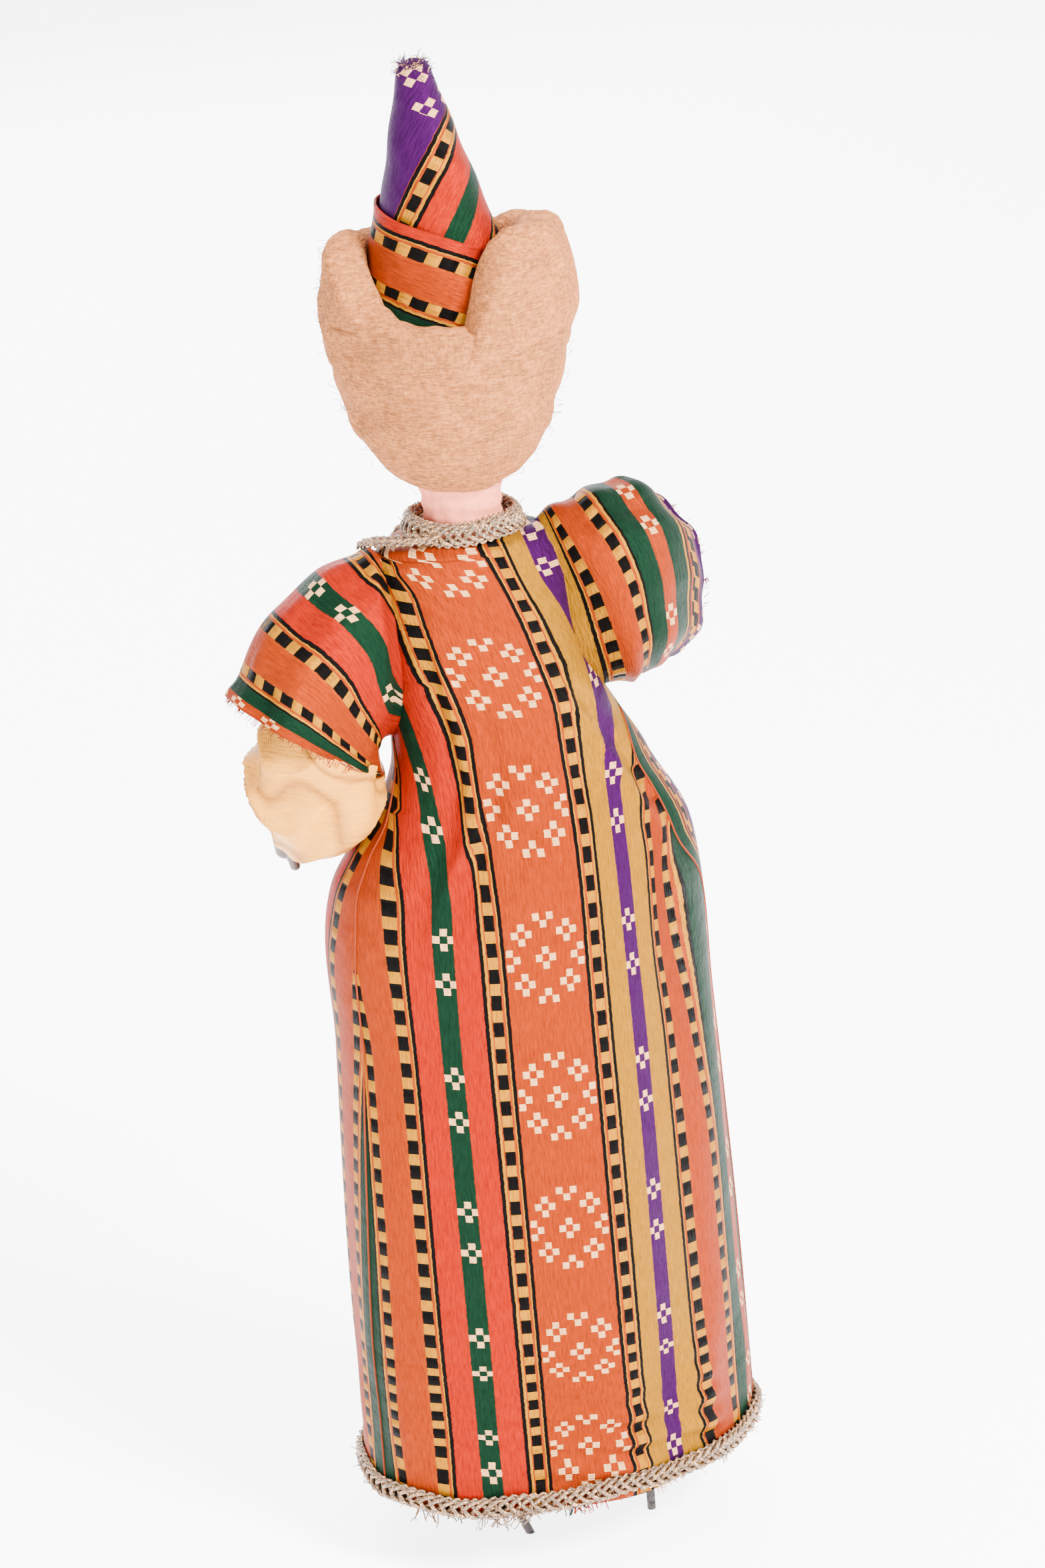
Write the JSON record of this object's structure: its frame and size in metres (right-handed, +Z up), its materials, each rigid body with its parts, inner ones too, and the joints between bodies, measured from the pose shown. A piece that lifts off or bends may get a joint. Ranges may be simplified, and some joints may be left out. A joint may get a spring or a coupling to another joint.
{
  "type": "costumed puppet",
  "caption": "Standing costumed puppet in a striped robe, turban and cone cap, with a turning head and wire arms jointed at shoulder and elbow.",
  "frame": {"origin": "under the middle of the bounding box, on the floor that the leg wires stand on", "axes": "+Z up along the body, the longest extent; the figure faces -Y; +X is the figure's own left"},
  "size_m": [0.09, 0.0772, 0.2774],
  "materials": {
    "turned_wood": "bare turned limewood",
    "rusty_wire": "dark steel wire with light rust",
    "bright_wire": "annealed steel wire",
    "card": "thin grey-brown card",
    "padding": "cotton wadding",
    "cream_satin": "cream satin, soft folds",
    "striped_brocade": "striped jacquard satin in salmon, orange-red, green, yellow and purple",
    "metal_thread_braid": "tarnished silver-gold thread braid",
    "neck_cloth": "pale pink knitted cloth",
    "painted_head": "papier-mache with matte skin-tone paint",
    "eye_black": "dark glossy paint",
    "wadding": "tan fibrous wadding",
    "painted_hand": "carved and painted, brown-pink"
  },
  "bodies": {
    "torso": {"torso_block": "turned_wood", "shoulder_pin": "bright_wire", "shoulder_washers": "bright_wire", "leg_wire_rear_left": "rusty_wire", "leg_wire_rear_right": "rusty_wire", "leg_wire_front_left": "rusty_wire", "leg_wire_front_right": "rusty_wire", "skirt_former": "card", "chest_padding": "padding", "shirt_body": "cream_satin", "robe_body": "striped_brocade", "collar_braid": "metal_thread_braid", "front_braid_left": "metal_thread_braid", "front_braid_right": "metal_thread_braid", "hem_braid": "metal_thread_braid"},
    "head": {"neck_dowel": "turned_wood", "neck_sleeve": "neck_cloth", "head_ball": "painted_head", "face_mask": "painted_head", "eye_beads": "eye_black", "nape_wrap": "wadding", "turban_roll": "wadding", "turban_fold": "wadding", "cap_former": "card", "cap_lower_cover": "striped_brocade", "cap_upper_cover": "striped_brocade"},
    "left_upper_arm": {"upper_arm_wire_left": "bright_wire", "elbow_pin_left": "bright_wire", "arm_padding_left": "padding", "robe_sleeve_left": "striped_brocade"},
    "left_forearm": {"forearm_rod_left": "turned_wood", "shirt_sleeve_left": "cream_satin", "cuff_thread_left": "cream_satin", "hand_left": "painted_hand"},
    "right_upper_arm": {"upper_arm_wire_right": "bright_wire", "elbow_pin_right": "bright_wire", "arm_padding_right": "padding", "robe_sleeve_right": "striped_brocade"},
    "right_forearm": {"forearm_rod_right": "turned_wood", "shirt_sleeve_right": "cream_satin", "cuff_thread_right": "cream_satin", "hand_right": "painted_hand"}
  },
  "joints": [
    {"name": "neck_turn", "type": "hinge", "parent": "torso", "child": "head", "pos_m": [0.0004, 0.00606, 0.19], "axis": [0, 0, 1], "range_deg": [-75, 75]},
    {"name": "left_shoulder_swing", "type": "hinge", "parent": "torso", "child": "left_upper_arm", "pos_m": [0.021, 0.00606, 0.1746], "axis": [1, 0, 0], "range_deg": [-60, 30]},
    {"name": "left_elbow_bend", "type": "hinge", "parent": "left_upper_arm", "child": "left_forearm", "pos_m": [0.0332, 0.01006, 0.1486], "axis": [1, 0, 0], "range_deg": [-40, 40]},
    {"name": "right_shoulder_swing", "type": "hinge", "parent": "torso", "child": "right_upper_arm", "pos_m": [-0.0202, 0.00606, 0.1746], "axis": [1, 0, 0], "range_deg": [-45, 25]},
    {"name": "right_elbow_bend", "type": "hinge", "parent": "right_upper_arm", "child": "right_forearm", "pos_m": [-0.0376, -0.01094, 0.168], "axis": [1, 0, 0], "range_deg": [-40, 40]}
  ]
}
